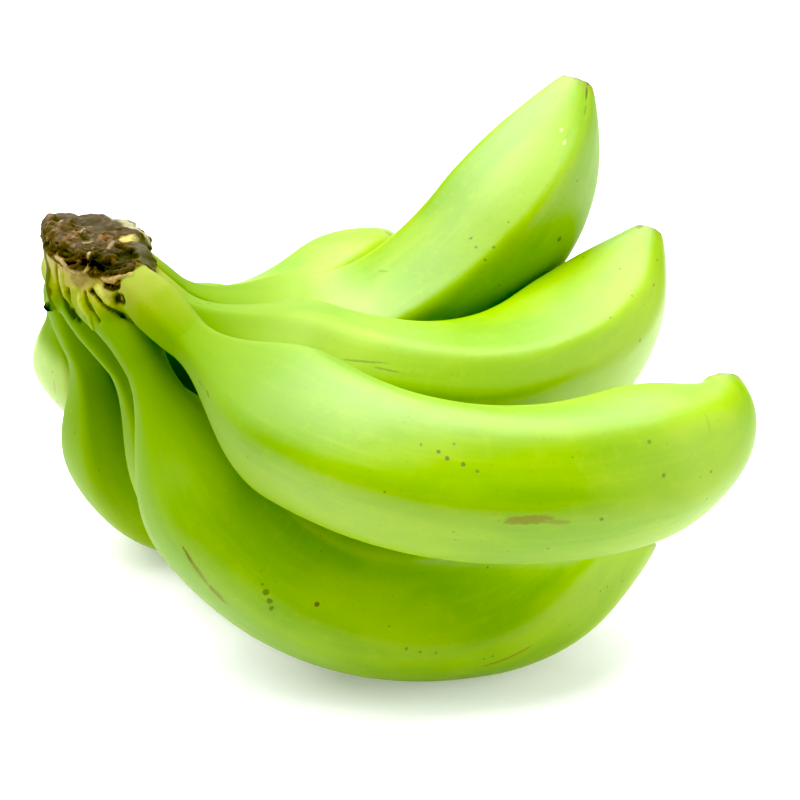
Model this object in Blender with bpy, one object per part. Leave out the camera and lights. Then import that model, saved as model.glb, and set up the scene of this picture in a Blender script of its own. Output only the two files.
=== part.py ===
"""A hand of eight green Cavendish bananas growing from one cut crown.

Lengths are in metres and Z is up. The hand lies on the plane Z = 0 on its four lower bananas, and the origin
is on that plane under the middle of the hand.
"""
import math

import bmesh
import bpy
from mathutils import Vector

MM = 0.001

# Shape that every banana shares
SIDES = 20                  # faces round a banana
RIDGES = 5                  # soft lengthwise ridges in the peel
RIDGE_HEIGHT = 0.03         # height of a ridge as a share of the local radius
ROOT_RADIUS = 3.5 * MM      # end of the stalk that is sunk in the crown
ROOT_DEPTH = 7.0 * MM       # length that is sunk, behind the first steering point
STALK_RADIUS = 6.0 * MM
BLOSSOM_RADIUS = 5.0 * MM   # blunt end where the flower was
STALK_SHARE = 0.115         # share of the length that stays as thin as the stalk
SHOULDER_SHARE = 0.33       # share of the length where the full girth is reached
TIP_ROUNDNESS = 0.96        # below 1 the tip is blunter, above 1 it is more pointed

# Shares of a banana's length at which its cross-sections lie
SECTIONS = (0.0, 0.035, 0.07, 0.11, 0.145, 0.18, 0.215, 0.25, 0.285, 0.33, 0.39, 0.46, 0.53, 0.60,
            0.67, 0.73, 0.78, 0.83, 0.87, 0.91, 0.945, 0.975, 1.0)

# Each banana: radius of its body in mm, turn of its ridges in degrees, share of its length where the tip
# taper starts, and the five points in mm that steer its middle line from the crown to the blossom end
BANANAS = {
    "banana_upper_front": (19.9, 10, 0.79,
        ((-59, -43, 108), (-6, -94, 74), (14, -125, 82), (98, -86, 69), (95, -63, 90))),
    "banana_upper_second": (19.1, 14, 0.74,
        ((-67, -22, 105), (-29, -50, 82), (30, -53, 68), (57, -26, 64), (83, 8, 105))),
    "banana_upper_third": (20.0, 8, 0.73,
        ((-69, -12, 105), (-28, 1, 63), (0, -1, 60), (37, -6, 89), (62, 26, 144))),
    "banana_upper_back": (18.3, 40, 0.75,
        ((-72, 0, 101), (-66, 10, 75), (-49, 21, 53), (-22, 53, 46), (6, 116, 61))),
    "banana_lower_front": (20.1, 64, 0.74,
        ((-70, -35, 99), (-48, -50, 97), (-58, -70, 51), (-10, -75, -12), (80, -46, 36))),
    "banana_lower_second": (18.9, 60, 0.76,
        ((-78, -23, 96), (-49, -19, 58), (-51, -29, 18), (-17, -31, 5), (72, -10, 32))),
    "banana_lower_third": (18.9, 50, 0.76,
        ((-83, -11, 93), (-72, 7, 36), (-74, 11, 4), (-45, 13, 8), (42, 18, 52))),
    "banana_lower_back": (18.4, 0, 0.76,
        ((-84, 2, 94), (-95, 30, 59), (-84, 53, 28), (-49, 71, 11), (8, 90, 19))),
}

# The crown: slices from its underside to its cut face, each a height, a middle point and two half sizes in mm
CROWN_TURN = 27             # degrees between the crown's long side and the Y axis
CROWN_POINTS = 18           # corners round one slice
CROWN_SLICES = (
    (96.0, (-78, -16), 8.0, 17.5),
    (99.5, (-76.5, -16.5), 11.5, 21.5),
    (104.5, (-74, -18), 13.0, 23.5),
    (109.0, (-72, -19.5), 14.0, 24.0),
    (112.0, (-72, -19.5), 13.0, 22.5),
    (113.5, (-73, -19), 11.5, 20.5),
)
CROWN_SLOPE = (0.20, 0.10)  # how much the cut face drops towards +X and towards +Y
CROWN_ROUGHNESS = 0.05      # unevenness of the outline as a share of its radius

GAP = 0.6 * MM              # clearance between a stalk and the crown it grows from
REST_CUT = 0.6 * MM         # depth of the flat spot that each lower banana rests on

CURVE_STEPS = 240           # straight steps that a middle line is measured along
SHARP_ANGLE = 45            # degrees from which an edge is left unsmoothed


def make_material(name, color, roughness):
    """Return a plain Principled material."""
    material = bpy.data.materials.new(name)
    material.use_nodes = True
    shader = material.node_tree.nodes["Principled BSDF"]
    shader.inputs["Base Color"].default_value = (*color, 1.0)
    shader.inputs["Roughness"].default_value = roughness
    return material


def make_object(name, shape, material):
    """Turn a bmesh into a named object with smooth sides and sharp cut edges."""
    bmesh.ops.recalc_face_normals(shape, faces=shape.faces)
    mesh = bpy.data.meshes.new(name)
    shape.to_mesh(mesh)
    shape.free()
    mesh.materials.append(material)
    mesh.shade_smooth()
    mesh.set_sharp_from_angle(angle=math.radians(SHARP_ANGLE))
    item = bpy.data.objects.new(name, mesh)
    bpy.context.scene.collection.objects.link(item)
    return item


def curve_points(controls):
    """Return evenly stepped points of the smooth curve steered by the control points."""
    points = []
    for step in range(CURVE_STEPS + 1):
        row = [Vector(point) for point in controls]
        share = step / CURVE_STEPS
        while len(row) > 1:
            row = [first.lerp(second, share) for first, second in zip(row, row[1:])]
        points.append(row[0])
    return points


def stations(points, shares):
    """Return the point and the direction of a curve at each share of its length."""
    lengths = [0.0]
    for first, second in zip(points, points[1:]):
        lengths.append(lengths[-1] + (second - first).length)
    found = []
    index = 0
    for share in shares:
        wanted = share * lengths[-1]
        while index < len(points) - 2 and lengths[index + 1] < wanted:
            index += 1
        step = (wanted - lengths[index]) / (lengths[index + 1] - lengths[index])
        place = points[index].lerp(points[index + 1], step)
        found.append((place, (points[index + 1] - points[index]).normalized()))
    return found


def banana_radius(share, body, taper):
    """Radius of a banana at a share of its length: thin stalk, full body, tapered tip."""
    if share > taper:
        tip = (share - taper) / (1.0 - taper)
        return BLOSSOM_RADIUS + (body - BLOSSOM_RADIUS) * max(0.0, 1.0 - tip * tip) ** TIP_ROUNDNESS
    rise = min(1.0, max(0.0, (share - STALK_SHARE) / (SHOULDER_SHARE - STALK_SHARE)))
    return STALK_RADIUS + (body - STALK_RADIUS) * rise * rise * (3.0 - 2.0 * rise)


def skin(shape, rings):
    """Join rings of vertices into one closed skin."""
    for lower, upper in zip(rings, rings[1:]):
        count = len(lower)
        for index in range(count):
            after = (index + 1) % count
            shape.faces.new((lower[index], lower[after], upper[after], upper[index]))
    shape.faces.new(rings[0][::-1])
    shape.faces.new(rings[-1])


def banana_shape(body, turn, taper, controls):
    """Sweep the five-ridged section of a banana along its bent middle line."""
    shape = bmesh.new()
    points = curve_points([Vector(point) * MM for point in controls])
    inner = (points[0] + points[-1]) / 2 - points[len(points) // 2]
    sections = []
    for share, (place, along) in zip(SECTIONS, stations(points, SECTIONS)):
        sections.append((place, along, banana_radius(share, body * MM, taper)))
    place, along, _ = sections[0]
    sections.insert(0, (place - along * ROOT_DEPTH, along, ROOT_RADIUS))
    rings = []
    for place, along, radius in sections:
        across = (inner - along * inner.dot(along)).normalized()
        side = along.cross(across)
        ring = []
        for index in range(SIDES):
            angle = 2 * math.pi * index / SIDES
            ridge = 1.0 + RIDGE_HEIGHT * math.cos(RIDGES * (angle - math.radians(turn)))
            offset = across * math.cos(angle) + side * math.sin(angle)
            ring.append(shape.verts.new(place + offset * (radius * ridge)))
        rings.append(ring)
    skin(shape, rings)
    bmesh.ops.recalc_face_normals(shape, faces=shape.faces)
    return shape


def rest_flat(shape):
    """Lower a banana until it dips below the resting plane, cut the dip off and close the flat spot."""
    drop = REST_CUT + min(vert.co.z for vert in shape.verts)
    bmesh.ops.translate(shape, verts=shape.verts, vec=(0, 0, -drop))
    everything = shape.verts[:] + shape.edges[:] + shape.faces[:]
    cut = bmesh.ops.bisect_plane(shape, geom=everything, dist=1e-6, plane_co=(0, 0, 0),
                                 plane_no=(0, 0, -1), clear_outer=True)
    rim = [item for item in cut["geom_cut"] if isinstance(item, bmesh.types.BMEdge)]
    bmesh.ops.contextual_create(shape, geom=rim)


def crown_shape(grow=0.0):
    """Loft the crown's uneven slices into one lump, grown outwards on all sides by the given length."""
    shape = bmesh.new()
    turn = math.radians(CROWN_TURN)
    short_way = Vector((math.cos(turn), math.sin(turn), 0))
    long_way = Vector((-math.sin(turn), math.cos(turn), 0))
    last = len(CROWN_SLICES) - 1
    rings = []
    for level, (height, middle, short_half, long_half) in enumerate(CROWN_SLICES):
        slope = Vector((*CROWN_SLOPE, 0)) * (level / last)
        lift = grow * (2 * level / last - 1)
        ring = []
        for index in range(CROWN_POINTS):
            angle = 2 * math.pi * index / CROWN_POINTS
            rough = 1.0 + CROWN_ROUGHNESS * math.sin(3 * angle + 1.7 * level)
            flat = (short_way * math.cos(angle) * (short_half * MM * rough + grow)
                    + long_way * math.sin(angle) * (long_half * MM * rough + grow))
            rise = height * MM + lift - slope.dot(flat)
            ring.append(shape.verts.new((middle[0] * MM + flat.x, middle[1] * MM + flat.y, rise)))
        rings.append(ring)
    skin(shape, rings)
    bmesh.ops.triangulate(shape, faces=shape.faces, quad_method="FIXED")
    return shape


def trim_stalk(banana, cutter):
    """Cut a banana's stalk where it meets the crown."""
    trim = banana.modifiers.new("trim at crown", "BOOLEAN")
    trim.operation = "DIFFERENCE"
    trim.solver = "EXACT"
    trim.object = cutter


def build():
    """Make the crown and its bananas."""
    for item in list(bpy.data.objects):
        bpy.data.objects.remove(item, do_unlink=True)

    peel = make_material("green_peel", (0.33, 0.61, 0.03), 0.42)
    wood = make_material("dried_crown", (0.045, 0.022, 0.008), 0.85)

    make_object("crown", crown_shape(), wood)
    cutter = make_object("crown_clearance", crown_shape(grow=GAP), wood)
    cutter.hide_render = True
    cutter.display_type = "WIRE"

    for name, (body, turn, taper, controls) in BANANAS.items():
        shape = banana_shape(body, turn, taper, controls)
        if name.startswith("banana_lower"):
            rest_flat(shape)
        banana = make_object(name, shape, peel)
        trim_stalk(banana, cutter)


build()
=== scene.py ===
"""A hand of eight green Cavendish bananas growing from one cut, dried crown, on a pale floor.

Lengths are in metres unless a name or comment says mm, and Z is up.
"""
import math

import bpy
import numpy as np
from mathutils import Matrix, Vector, noise
from mathutils.bvhtree import BVHTree


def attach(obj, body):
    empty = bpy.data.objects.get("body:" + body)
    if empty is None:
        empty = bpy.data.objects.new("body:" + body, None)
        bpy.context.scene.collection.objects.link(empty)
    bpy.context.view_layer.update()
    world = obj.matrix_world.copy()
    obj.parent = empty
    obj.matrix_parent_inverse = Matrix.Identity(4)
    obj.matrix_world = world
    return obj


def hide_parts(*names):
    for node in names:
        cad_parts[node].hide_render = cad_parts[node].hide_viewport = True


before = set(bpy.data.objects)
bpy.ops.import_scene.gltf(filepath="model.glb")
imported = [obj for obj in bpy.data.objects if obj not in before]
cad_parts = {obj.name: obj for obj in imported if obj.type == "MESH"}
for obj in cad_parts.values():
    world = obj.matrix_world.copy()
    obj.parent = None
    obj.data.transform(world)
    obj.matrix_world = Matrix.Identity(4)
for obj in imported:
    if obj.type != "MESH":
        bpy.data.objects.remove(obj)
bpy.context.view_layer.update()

MM = 0.001

# Shape that every banana shares, lengths in mm
STALK_RADIUS = 6.0
BLOSSOM_RADIUS = 5.0
NARROW_BLOSSOM = {"banana_upper_second": 4.0}
STALK_SHARE = 0.115  # share of the length that is thin stalk
SHOULDER_SHARE = 0.33  # share of the length where the girth is full
TIP_ROUNDNESS = 0.96  # below 1 the tip is blunter
RIDGE_FADE = 0.5  # share of their height that ridges lose at the tip
RIDGE_FADE_START = 0.88
ROOT = 5.0  # length along a stalk, inside the crown's flesh, where a banana's own skin starts
REST_CUT = 0.6  # depth by which the floor presses a lower banana flat
REST_EDGE = 0.15  # height of the soft edge round that flat spot

# Fineness of a banana's mesh and of the tables that it is worked out from
AROUND = 144
ALONG = 200
FIRST_TURN = 0.12  # above 0 the rings crowd less at the stalk than at the tip
CURVE_STEPS = 600
TURN_STEPS = 720
PROBE_RINGS, PROBE_AROUND = 300, 90  # for finding how low a banana reaches

# Noise is given by the width of its bumps in mm and its seed, which moves it by these steps
SEED_STEPS = (7.3, 3.1, 5.7)

# Waves and dents of a banana's skin, with heights in mm
WAVES = (38.0, 1.0)
WAVE_HEIGHT = 0.20
DENTS = (11.0, 2.0)
DENT_HEIGHT = 0.09

# Shares of a banana's length at which the angles of its ridges are given; they run evenly between them
RIDGE_SHARES = (0.3, 0.5, 0.7, 0.9)

# Each banana: radius of its body in mm, share of its length where the tip taper starts, how flat the sides
# between its ridges are, the rounding of its ridges in degrees, the angles of its ridges at the shares above
# (or one row for all), and the five points in mm that steer its middle line from the crown to the blossom end
BANANAS = {
    "banana_upper_front": (19.9, 0.79, 0.72, 9,
        ((0, 66, 146, 225, 300), (5, 80, 151, 225, 300), (14, 95, 158, 227, 300), (26, 110, 163, 230, 300)),
        ((-59, -43, 108), (-6, -94, 74), (14, -125, 82), (98, -86, 69), (95, -63, 90))),
    "banana_upper_second": (19.1, 0.74, 0.95, 5,
        ((8, 73, 114, 195, 270), (8, 81, 116, 195, 270), (12, 97, 124, 198, 272), (22, 121, 150, 205, 280)),
        ((-67, -22, 105), (-29, -50, 82), (30, -53, 68), (57, -26, 64), (83, 8, 105))),
    "banana_upper_third": (20.0, 0.73, 0.75, 4,
        ((56, 140, 222, 295, 350), (76, 148, 222, 295, 354), (83, 152, 222, 295, 358),
         (90, 155, 222, 295, 359)),
        ((-69, -12, 105), (-28, 1, 63), (0, -1, 60), (37, -6, 89), (62, 26, 144))),
    "banana_upper_back": (18.3, 0.75, 0.70, 7,
        ((40, 112, 184, 256, 328),),
        ((-72, 0, 101), (-66, 10, 75), (-49, 21, 53), (-22, 53, 46), (6, 116, 61))),
    "banana_lower_front": (20.1, 0.74, 0.50, 9,
        ((52, 136, 208, 280, 344),),
        ((-70, -35, 99), (-48, -50, 97), (-58, -70, 51), (-10, -75, -12), (80, -46, 36))),
    "banana_lower_second": (18.9, 0.76, 0.70, 7,
        ((60, 132, 204, 276, 348),),
        ((-78, -23, 96), (-49, -19, 58), (-51, -29, 18), (-17, -31, 5), (72, -10, 32))),
    "banana_lower_third": (18.9, 0.76, 0.70, 7,
        ((50, 122, 194, 266, 338),),
        ((-83, -11, 93), (-72, 7, 36), (-74, 11, 4), (-45, 13, 8), (42, 18, 52))),
    "banana_lower_back": (18.4, 0.76, 0.70, 7,
        ((46, 118, 190, 262, 334),),
        ((-84, 2, 94), (-95, 30, 59), (-84, 53, 28), (-49, 71, 11), (8, 90, 19))),
}

# The crown: slices from its underside to its cut face, each a height, a middle point and two half sizes in mm
CROWN_TURN = 27  # degrees between its long side and the Y axis
CROWN_SLICES = (
    (96.0, (-78, -16), 8.0, 17.5),
    (99.5, (-76.5, -16.5), 11.5, 21.5),
    (104.5, (-74, -18), 13.0, 23.5),
    (109.0, (-72, -19.5), 14.0, 24.0),
    (112.0, (-72, -19.5), 13.0, 22.5),
    (113.5, (-73, -19), 11.5, 20.5),
)
CROWN_SLOPE = (0.20, 0.10)  # how much the cut face drops towards +X and towards +Y
CROWN_ROUGHNESS = 0.05  # height of the outline's waves as a share of its radius
CROWN_WAVES = 3
CROWN_TWIST = 1.7  # turn of the waves from slice to slice, in radians
CROWN_RINGS, CROWN_AROUND = 24, 72

# Fineness of a lump, and share of a quarter turn that its rings reach up and down
LUMP_RINGS, LUMP_AROUND = 15, 28
LUMP_REACH = 0.96

# Lumps of bark on the crown, in mm: a middle point and three radii
LUMPS = (
    ((-61.8, -25.8, 108.9), (5.4, 6.6, 4.8)),
    ((-84.5, -18.0, 112.0), (3.4, 5.5, 3.8)),
    ((-84.0, -9.0, 111.3), (4.6, 7.0, 4.3)),
    ((-86.6, -10.8, 114.0), (2.0, 3.2, 2.7)),
    ((-76.0, -4.5, 109.2), (9.0, 5.5, 5.2)),
    ((-69.5, -7.5, 108.8), (8.0, 6.0, 5.4)),
    ((-64.0, -14.0, 108.3), (5.6, 8.0, 5.0)),
    ((-66.0, -35.5, 109.8), (6.5, 6.0, 4.2)),
    ((-63.6, -39.0, 110.2), (5.6, 5.5, 5.0)),
)

# Lumps of green flesh under the crown, and the stub of a withered stalk at its left
FLESH = (
    ((-65.5, -40.0, 103.0), (6.5, 6.0, 7.0)),
    ((-70.0, -36.0, 101.0), (6.5, 6.0, 7.0)),
    ((-83.5, -20.0, 101.0), (4.0, 8.0, 9.0)),
    ((-88.0, -15.5, 91.3), (1.6, 1.4, 1.5)),
)

# The flesh that joins the stalks under the crown: length along a stalk and swell over its skin, in mm
SLEEVE = ((-7.0, -2.2), (-3.0, -0.6), (2.0, 0.6), (8.0, 1.1), (15.0, 0.7), (22.0, 0.0), (30.0, -0.8))
SLEEVE_RINGS, SLEEVE_AROUND = 40, 48
SLEEVE_EXTRA = 4  # mm past the sleeves where the peel's patterns still follow a stalk

# The crown's lumps are fused on this grid in mm and then evened out
VOXEL = 0.5
SMOOTHING_ROUNDS = 6
SMOOTHING_SHARE = 0.5  # share of the way to the neighbours' middle

# Height in mm of the bark's lower edge in the middle of the crown, and its drop towards +X
BARK_EDGE = 109.6
BARK_SLOPE = 0.10
BLOTCHES = (4.0, 4.0)  # noise of 1 mm that makes this edge uneven
BARK_FADE = (-0.5, 0.6)  # heights in mm over it between which flesh becomes bark
BARK_REACH = (1.2, 2.4)  # distances in mm from the core between which it ends
FAR_START = 2.5  # mm from the core where flesh counts as further below
FAR_WEIGHT = 0.6

# Cragginess of the bark: noise and heights in mm of folds, fibres and grain, and their sinking in all
BEND_WIDTH = 7.0
BEND_SEEDS = (5.0, 6.0, 7.0)
BEND = 2.6  # mm by which folds and fibres are bent
FOLDS = (5.2, 8.0)
FIBRES = (3.0, 9.0)
FIBRE_SQUEEZE = 2.6  # times that fibres are thinner in height
GRAIN = (1.3, 10.0)
FOLD_HEIGHT = 0.95
FIBRE_HEIGHT = 0.55
GRAIN_HEIGHT = 0.22
BARK_SINK = 0.55

# Edge of a detail: shares of its half width between which it fades, and its ragged noise
DETAIL_EDGE = (0.55, 1.2)
RAGGED = (1.8, 11.0)
RAGGED_SHARE = 0.30
RAGGED_GRAIN = 0.15

# Details of the crown and its stalks: name of the look, half width in mm, height in mm and the points in mm
# that they run through
DETAILS = (
    ("grey", 6.0, 0.0, ((-84, -4, 114), (-76, -3, 113), (-70, -8, 112.5))),
    # the hollow details sink the surface and colour it near black as painted shade
    ("shaded_hollow", 3.0, -1.2, ((-70, -38.5, 114), (-67.5, -40, 113), (-65, -41.5, 114.5), (-63, -38, 115),
        (-62.5, -31, 113))),
    ("shaded_hollow", 1.2, -1.0, ((-76, -21.5, 114.5), (-75, -24, 114.5))),
    ("shaded_hollow", 1.2, -0.7, ((-66.5, -24, 112.5), (-64.5, -26.5, 113))),
    ("shaded_hollow", 1.0, -0.5, ((-84, -31, 109.5), (-81.5, -32.5, 110))),
    ("rust", 0.9, 0.4, ((-80.5, -29, 116), (-80, -26, 116.5), (-79.3, -22.5, 116), (-78.7, -18, 115))),
    ("rust", 0.6, 0.4, ((-78.5, -26.5, 116), (-78, -21.5, 115), (-77, -17, 114.5))),
    ("rust", 0.7, 0.3, ((-82.5, -23, 116.5), (-83, -17, 116), (-83, -12.5, 115.5))),
    ("rust", 0.8, 0.3, ((-71.5, -23, 114), (-71, -19, 113.5), (-70, -15.5, 112.7), (-68.7, -18, 113),
        (-69, -23, 114))),
    ("thread", 0.6, 0.4, ((-86.5, -22, 114), (-85, -22.5, 115.5), (-84, -20, 116.5), (-83.7, -16, 116),
        (-83.5, -10.5, 115))),
    ("thread", 0.6, 0.4, ((-72.5, -27, 115), (-72, -20.5, 114), (-71.5, -16.5, 113.5))),
    ("thread", 0.6, 0.4, ((-69, -32, 114), (-68.5, -27.5, 113.5), (-68, -22.5, 113), (-67, -19.5, 113))),
    ("thread", 0.5, 0.4, ((-77.5, -20, 114.5), (-77, -15.5, 114), (-76.5, -13, 114))),
    ("thread", 0.5, 0.4, ((-75, -29, 115), (-73.5, -28, 114.5), (-73, -25, 114.5))),
    ("thread", 0.6, 0.5, ((-72, -31, 115),)),
    ("thread", 0.5, 0.5, ((-70.5, -30, 114.5),)),
    ("thread", 0.5, 0.5, ((-71, -33.5, 114.5),)),
    ("thread", 0.4, 0.4, ((-79.5, -24.5, 115.5), (-77.5, -25.5, 115))),
    ("fibre", 0.7, 0.7, ((-84.5, -28, 111.5), (-83, -29.5, 112), (-80.5, -32, 111.5), (-79, -34.5, 110.3),
        (-76, -37, 109.8), (-74, -38, 110.8), (-72.5, -37.5, 111.5))),
    ("fibre", 0.6, 0.5, ((-72.5, -36, 115.5), (-72.5, -37, 114.5), (-73, -36.5, 113), (-73, -37.5, 111.5))),
    ("fibre", 0.5, 0.3, ((-84, -29.5, 110.3), (-82, -31, 110), (-81, -32, 109.5))),
    ("yellow", 1.6, 0.3, ((-65.5, -18.5, 113), (-63.5, -18.0, 113), (-61.5, -18.5, 112.8))),
    ("cream", 2.1, 0.1, ((-71, -2.5, 112.5), (-69, -4.5, 112.7), (-66.5, -7, 112.7), (-63.5, -9.5, 112.5),
        (-60.5, -12, 112), (-58.5, -14.5, 111))),
    ("knob", 3.6, 0.0, ((-58.8, -27, 112), (-59.5, -18.5, 111), (-58.5, -30, 111))),
    ("lip", 0.9, 0.7, ((-69.5, -41.5, 110.3), (-67, -43.5, 110.3), (-65, -44.3, 111), (-62.5, -45, 111.8),
        (-60.5, -45, 112.5))),
    ("purple", 0.7, -0.5, ((-68, -42.7, 108.7), (-66.5, -43.5, 108), (-64.5, -45.3, 109), (-63.5, -46, 110))),
    ("scar", 1.8, -0.4, ((-64.0, -45.6, 106.2), (-62.4, -47.4, 106.5))),
    ("mauve", 0.9, 0.4, ((-62.9, -46.8, 106.7),)),
    ("shaded_hollow", 0.8, -1.0, ((-72, -39.5, 106), (-70.5, -42.5, 105.5), (-69.5, -44.5, 105))),
    # groove details are painted shade along the ribs of the flesh, and crest details are painted highlight,
    # over their real relief
    ("groove_shade", 0.8, -0.9, ((-69.5, -44.5, 105), (-68.5, -45, 104), (-66, -46, 103), (-63.5, -45.5, 101.5),
        (-60.5, -47, 100))),
    ("crest_highlight", 1.0, 0.4, ((-70.5, -40, 107.5), (-69, -43.5, 107), (-67.5, -45, 105.5), (-66, -46, 104.3))),
    ("groove_shade", 0.8, -0.8, ((-82.5, -30, 109.5), (-83, -29.5, 105), (-82, -28.5, 100), (-80.5, -28.5, 96.5),
        (-79, -29, 93.5))),
    ("crest_highlight", 1.0, 0.5, ((-81, -32, 108), (-81, -32, 104.5), (-79.5, -32, 100.5), (-78, -29, 95.5))),
    ("groove_shade", 0.9, -0.9, ((-79.5, -34, 104), (-79.5, -31, 98.5), (-78.5, -29, 95.5), (-77.5, -29, 93))),
    ("crest_highlight", 1.0, 0.5, ((-77, -36, 106), (-76.5, -37.5, 104), (-75, -39.5, 102), (-73, -41, 99),
        (-72, -40, 95.5))),
    ("groove_shade", 0.8, -0.9, ((-74.5, -39, 105.5), (-74, -39.8, 104.5), (-72.5, -41.7, 101.5), (-70, -44, 99))),
    ("black", 2.6, 0.0, ((-89.3, -16, 90.8),)),
    ("shade", 3.0, -0.3, ((-71, -34, 114), (-67, -31, 114), (-63.5, -30, 113))),
    ("olive", 2.4, 0.0, ((-86.5, -22, 109), (-86, -24.5, 106), (-86, -25.5, 101), (-85.5, -24, 95))),
    ("amber", 1.2, 0.0, ((-70.5, -40, 107.5),)),
    ("mauve", 1.5, 0.0, ((-77.5, -35.5, 108), (-75.5, -37, 107), (-73.5, -38, 109.3))),
)

# Looks of the details: colour, strength of the colour and how far it evens out the bark's folds
LOOKS = {
    "grey": ((0.07, 0.055, 0.045), 0.45, 0.3),
    # hollow: near-black painted shade in sunken hollows
    "shaded_hollow": ((0.009, 0.005, 0.005), 0.85, 0.0),
    "shade": ((0.011, 0.007, 0.007), 0.8, 0.0),
    "rust": ((0.2, 0.085, 0.035), 0.6, 0.1),
    "thread": ((0.26, 0.18, 0.11), 0.8, 0.2),
    "fibre": ((0.38, 0.28, 0.13), 0.92, 0.6),
    "yellow": ((0.48, 0.4, 0.11), 0.92, 0.9),
    "cream": ((0.33, 0.33, 0.19), 0.85, 0.8),
    "knob": ((0.06, 0.056, 0.032), 0.85, 0.9),
    "lip": ((0.4, 0.27, 0.11), 0.88, 0.8),
    "purple": ((0.05, 0.026, 0.032), 0.85, 0.5),
    "scar": ((0.018, 0.012, 0.01), 0.95, 0.0),
    "black": ((0.004, 0.003, 0.003), 1.00, 0.0),
    "olive": ((0.04, 0.046, 0.004), 0.85, 0.0),
    "amber": ((0.3, 0.28, 0.01), 0.6, 0.0),
    "mauve": ((0.23, 0.165, 0.085), 0.6, 0.0),
    # crest: painted highlight; groove: painted shade
    "crest_highlight": ((0.34, 0.4, 0.06), 0.5, 0.0),
    "groove_shade": ((0.07, 0.08, 0.004), 0.75, 0.0),
}

# Rings of the blossom end from its rim inwards: share of the rim's radius and rise in mm
BLOSSOM_RINGS = ((0.97, 0.12), (0.92, 0.16), (0.84, 0.05), (0.70, -0.35), (0.52, -0.60), (0.34, -0.65),
                 (0.15, -0.60))
BLOSSOM_START = 0.2  # mm of unrolled peel between the rim and these rings
BLOSSOM_UNEVEN = 0.04  # unevenness of the rings as a share of their radius
BLOSSOM_RELIEF = 0.3  # height in mm of the scar's unevenness
BLOSSOM_SCAR = 0.95  # share of the rim's radius inside which the scar lies
BLOSSOM_WAVES = 2.3  # how fast it changes round a ring
BLOSSOM_DRIFT = 7  # how fast it changes from ring to ring

SKIN_RADIUS = 18.0  # radius in mm of the unrolled peel that the patterns are laid out on
SKIN_STEP = 400.0  # mm between the peels of two bananas, so that no two have the same pattern

# Numbers that keep a division from being by zero
NEVER_ZERO = 1e-12
SMALL_SHARE = 1e-6


def smoothstep(value, low, high):
    """Ease from 0 at low to 1 at high."""
    share = np.clip((value - low) / (high - low), 0.0, 1.0)
    return share * share * (3.0 - 2.0 * share)


def unit(rows):
    """Scale each row to length 1."""
    return rows / np.linalg.norm(rows, axis=-1, keepdims=True)


def dot(first, second):
    """Return the dot product of each pair of rows."""
    return np.einsum("ij,ij->i", first, second)


def turn_angles(count):
    """Return evenly spaced angles round one turn."""
    return np.linspace(0, 2 * math.pi, count, endpoint=False)


def middle_line(controls):
    """Return finely stepped points of the curve steered by the control points, and the length up to each."""
    share = np.linspace(0.0, 1.0, CURVE_STEPS + 1)[:, None]
    row = [np.array(point, float) for point in controls]
    while len(row) > 1:
        row = [first * (1 - share) + second * share for first, second in zip(row, row[1:])]
    points = row[0]
    steps = np.linalg.norm(np.diff(points, axis=0), axis=1)
    return points, np.concatenate(([0.0], np.cumsum(steps)))


def stations(points, lengths, wanted):
    """Return the place and direction at each wanted length, running straight on before the start."""
    inside = np.clip(wanted, 0.0, lengths[-1])
    place = np.stack([np.interp(inside, lengths, points[:, axis]) for axis in range(3)], 1)
    slope = np.gradient(points, lengths, axis=0)
    along = unit(np.stack([np.interp(inside, lengths, slope[:, axis]) for axis in range(3)], 1))
    return place + along * (wanted - inside)[:, None], along


def banana_radius(share, body, taper, blossom):
    """Radius in mm at each share of the length: thin stalk, full body, tapered tip."""
    rise = smoothstep(share, STALK_SHARE, SHOULDER_SHARE)
    radius = STALK_RADIUS + (body - STALK_RADIUS) * rise
    tip = np.clip((share - taper) / (1.0 - taper), 0.0, 1.0)
    end = blossom + (body - blossom) * np.maximum(0.0, 1.0 - tip * tip) ** TIP_ROUNDNESS
    return np.where(share > taper, end, radius)


def ridge_section(corners, rounding):
    """Return a table round one turn: a polygon with a rounded corner at each ridge, 0 on average."""
    angle = turn_angles(TURN_STEPS)
    corners = np.radians(corners)
    after = np.searchsorted(corners, angle, "right")
    low = np.where(after > 0, corners[after - 1], corners[-1] - 2 * math.pi)
    high = np.where(after < len(corners), corners[after % len(corners)], corners[0] + 2 * math.pi)
    sides = np.cos((high - low) / 2) / np.cos(angle - (low + high) / 2)
    waves = np.arange(TURN_STEPS // 2 + 1)
    soft = np.exp(-0.5 * (waves * math.radians(rounding)) ** 2)
    sides = np.fft.irfft(np.fft.rfft(sides) * soft, TURN_STEPS)
    return sides - sides.mean()


def grid_faces(rings, around):
    """Return the quads between rings of vertices."""
    ring = np.arange(rings - 1)[:, None] * around
    index = np.arange(around)[None, :]
    after = (index + 1) % around
    corners = [ring + index, ring + after, ring + around + after, ring + around + index]
    return np.stack(corners, -1).reshape(-1, 4)


def closed_tube(rings):
    """Close rings of points with a fan at each end and return points and faces."""
    count, around = rings.shape[:2]
    verts = np.concatenate([rings.reshape(-1, 3), [rings[0].mean(0), rings[-1].mean(0)]])
    faces = grid_faces(count, around).tolist()
    for index in range(around):
        after = (index + 1) % around
        faces.append((count * around, after, index))
        faces.append((count * around + 1, (count - 1) * around + index, (count - 1) * around + after))
    return verts, faces


def new_mesh(name, verts, faces):
    """Make a mesh object from points in mm."""
    mesh = bpy.data.meshes.new(name)
    mesh.from_pydata((np.asarray(verts) * MM).tolist(), [], [list(face) for face in faces])
    mesh.update()
    mesh.shade_smooth()
    item = bpy.data.objects.new(name, mesh)
    bpy.context.scene.collection.objects.link(item)
    return item


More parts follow.
